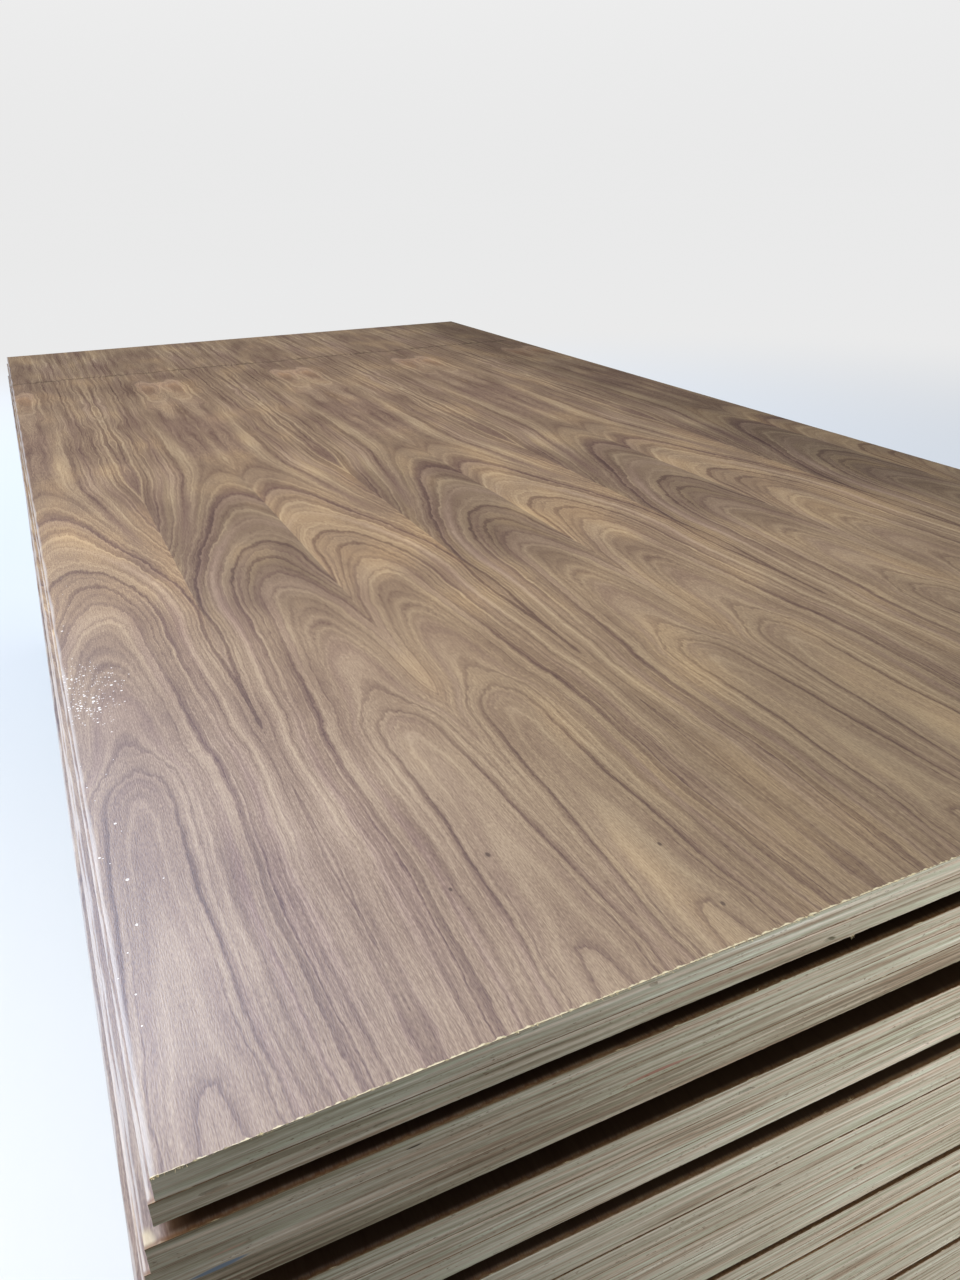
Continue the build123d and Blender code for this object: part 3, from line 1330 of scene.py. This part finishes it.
def rims_and_slots(tree, edge, colour):
    """The veneer's line with its chips, and the painted shade of the slots."""
    hollow = edge.place.hollow
    ply = edge.place.ply
    first = edge.place.number.math("LESS_THAN", 1.5)
    rim = blend(tree, first, veneer_brown, dusty_veneer)
    rim = blend(tree, hollow.span(*chip_seen), rim, chip_pale)
    colour = blend(tree, ply.math("LESS_THAN", veneer_end) * rim_share, colour, rim)
    # painted shade in the slots
    dark = hollow.span(*slot_seen) * ply.math("GREATER_THAN", veneer_end)
    return blend(tree, dark, colour, slot_shade_brown)


def sawn_edge():
    """Sawn plies of poplar under a walnut veneer."""
    material, tree, shader = finish("sawn_plies")
    edge = read_edge(tree)
    colour = poplar(tree, edge)
    colour = fine_lines(tree, edge, colour)
    colour = mark_edges(tree, edge, colour)
    colour = rims_and_slots(tree, edge, colour)
    plug(tree, colour, shader.inputs["Base Color"])
    shader.inputs["Roughness"].default_value = edge_roughness
    shader.inputs["Specular IOR Level"].default_value = edge_gloss
    dent(tree, shader, edge.fine, fuzz_depth)
    return material


plies_finish = sawn_edge()
print("nodes in the edge finish:", len(plies_finish.node_tree.nodes))

# %% [markdown]
# ## The back, and torn fibres
# The backs look down, and only a low view under the crowned boards shows them. A plain
# brown veneer with long streaks is all that they need. The splinters are bare poplar and
# walnut fibres that have bleached to a pale straw colour.

# %% Back finish
back_streak = (6, 240)
back_dark = chart(96, 75, 56)
back_light = chart(122, 97, 73)


def plain_back():
    """The plain veneer of the underside."""
    material, tree, shader = finish("plain_back_veneer")
    place = place_of(tree)
    streaks = chance(tree, (place.across, place.along, 0), back_streak, 3)
    colour = blend(tree, streaks * 0.5 + 0.5, back_dark, back_light)
    plug(tree, colour, shader.inputs["Base Color"])
    shader.inputs["Roughness"].default_value = 0.7
    return material


back = plain_back()
print("nodes in the back finish:", len(back.node_tree.nodes))

# %% Torn fibres
straw = chart(220, 202, 160)


def torn_fibres():
    """Pale fibres that hang on along a sawn rim."""
    material, tree, shader = finish("torn_fibres")
    shader.inputs["Base Color"].default_value = straw
    shader.inputs["Roughness"].default_value = 0.8
    return material


# %% Give the pieces their finishes
for piece in pieces:
    for material in (walnut, plies_finish, back):
        piece.data.materials.append(material)
splinters.data.materials.append(torn_fibres())
print("pieces with a finish:", len(pieces) + 1)

# %% [markdown]
# ## Floor and backdrop
# The lift stands on a plain pale floor in a plain pale room. A floor that is pale to the
# light as well would throw a lot of it up into the gaps. So the floor is pale only where
# the camera, a glossy surface or glass sees it, and a darker grey for the light on the
# object, and the room is bright and dim in the same way. A few metres out the floor
# fades into the backdrop, so that no horizon shows.

# %% What is seen directly
def seen_directly(tree):
    """1 for what the camera, a glossy surface or glass sees, and 0 for light on things."""
    rays = tree.nodes.new("ShaderNodeLightPath")
    seen = Amount(tree, rays.outputs["Is Camera Ray"])
    seen = seen + Amount(tree, rays.outputs["Is Glossy Ray"])
    seen = seen + Amount(tree, rays.outputs["Is Transmission Ray"])
    return seen.math("MINIMUM", 1.0)


# %% Floor
sky_level = 0.21               # light of the room on the object
horizon_white = 0.82           # brightness of the backdrop near the horizon
floor_half = 40                # metres
floor_fade = (2.0, 7.0)        # metres from the middle
floor_grey = chart(120, 119, 117)
floor_pale = chart(229, 225, 217)
floor_end = chart(10, 10, 10)

floor_mesh = bpy.data.meshes.new("floor")
floor_corners = [(x * floor_half, y * floor_half, 0) for x, y in ((-1, -1), (1, -1), (1, 1), (-1, 1))]
floor_mesh.from_pydata(floor_corners, [], [(0, 1, 2, 3)])
floor = bpy.data.objects.new("floor", floor_mesh)
bpy.context.scene.collection.objects.link(floor)
print("floor of", 2 * floor_half, "m by", 2 * floor_half, "m")


# %% Floor finish
def pale_floor():
    """A plain floor that fades into the backdrop."""
    material, tree, shader = finish("pale_floor")
    seen = seen_directly(tree)
    place = tree.nodes.new("ShaderNodeNewGeometry")
    distance = tree.nodes.new("ShaderNodeVectorMath")
    distance.operation = "LENGTH"
    tree.links.new(place.outputs["Position"], distance.inputs[0])
    far_off = Amount(tree, distance.outputs["Value"]).span(*floor_fade)
    colour = blend(tree, seen, floor_grey, floor_pale)
    plug(tree, blend(tree, far_off, colour, floor_end), shader.inputs["Base Color"])
    shader.inputs["Emission Color"].default_value = (1, 1, 1, 1)
    plug(tree, seen * far_off * horizon_white, shader.inputs["Emission Strength"])
    shader.inputs["Specular IOR Level"].default_value = 0.0
    shader.inputs["Roughness"].default_value = 0.9
    return material


floor_mesh.materials.append(pale_floor())
print("floor fades from", floor_fade[0], "to", floor_fade[1], "m")

# %% Backdrop
world = bpy.data.worlds.new("soft_sky")
bpy.context.scene.world = world
world.use_nodes = True
sky = world.node_tree
direction = sky.nodes.new("ShaderNodeTexCoord")
split = sky.nodes.new("ShaderNodeSeparateXYZ")
sky.links.new(direction.outputs["Generated"], split.inputs[0])
height = Amount(sky, split.outputs["Z"]).span(0.0, 0.6)
backdrop = height * (1 - horizon_white) + horizon_white
level = seen_directly(sky) * (backdrop - sky_level) + sky_level
background = sky.nodes["Background"]
background.inputs["Color"].default_value = (1, 1, 1, 1)
plug(sky, level, background.inputs["Strength"])
bpy.context.scene.view_settings.view_transform = "Standard"
print("light of the room on the object:", sky_level)

# %% [markdown]
# ## Lamps
# Three soft rectangular lamps stand for a large window far behind the lift, one beside
# it and a ceiling. The window is placed so that the face reflects it at the near left
# corner, where the photograph has its cool glare. It gives more gloss than plain light,
# so its diffuse part is turned down and its glossy part up.

# %% Soft lamps
def hang(name, data, place, target):
    """Put a lamp at a place, aimed at a target, from the near left corner of the top."""
    lamp = bpy.data.objects.new(name, data)
    bpy.context.scene.collection.objects.link(lamp)
    turn = (Vector(target) - Vector(place)).to_track_quat("-Z", "Y").to_matrix().to_4x4()
    lamp.matrix_world = Matrix.Translation(near_left_top + Vector(place)) @ turn
    return lamp


def soft_lamp(name, place, target, width, height, power, colour=(1, 1, 1)):
    """A soft rectangular lamp that the camera doesn't see. Sizes are in metres."""
    data = bpy.data.lights.new(name, "AREA")
    data.shape = "RECTANGLE"
    data.size = width
    data.size_y = height
    data.energy = power
    data.color = colour
    hang(name, data, place, target).visible_camera = False
    return data


window_blue = (0.70, 0.88, 1.2)
ceiling_warm = (1.0, 0.98, 0.95)
window = soft_lamp(
    "glare_lamp", place=(-2.6, 12.2, 8.4), target=(0, 0.2, 0),
    width=4, height=7, power=2500, colour=window_blue,
)
window.diffuse_factor = 0.5
window.specular_factor = 1.6
soft_lamp(
    "left_lamp", place=(-0.9, 0.25, 0.9), target=(0.4, 0.4, 0.0),
    width=1.0, height=0.8, power=19,
)
soft_lamp(
    "top_lamp", place=(0.7, 1.7, 3.6), target=(0.7, 1.7, 0.0),
    width=3.0, height=3.0, power=44, colour=ceiling_warm,
)
print("soft lamps:", sum(light.type == "AREA" for light in bpy.data.lights))

# %% [markdown]
# ## Light on the sawn ends
# The sawn ends are bright in the photograph, and the gaps between them almost black. A
# lamp above or below the ends would shine into the gaps. So the ends get two round lamps
# at their own height, which strike them squarely and hardly enter the gaps at all. The
# stronger one lights the right part, and the weaker one the near left corner.

# %% Level lamps
lamp_radius = 0.12


def level_lamp(name, place, target, power, spread):
    """A round lamp that shines level. The spread of its cone is in degrees."""
    data = bpy.data.lights.new(name, "SPOT")
    data.energy = power
    data.shadow_soft_size = lamp_radius
    data.spot_size = radians(spread)
    data.spot_blend = 1.0
    hang(name, data, place, target)


level_lamp(
    "front_lamp", place=(1.15, -2.6, -0.17), target=(0.92, 0.0, -0.13), power=258, spread=36,
)
level_lamp(
    "front_fill", place=(-0.5, -2.5, -0.17), target=(0.06, 0.0, -0.13), power=36, spread=26,
)
print("lamps in all:", len(bpy.data.lights))

# %% [markdown]
# ## The end
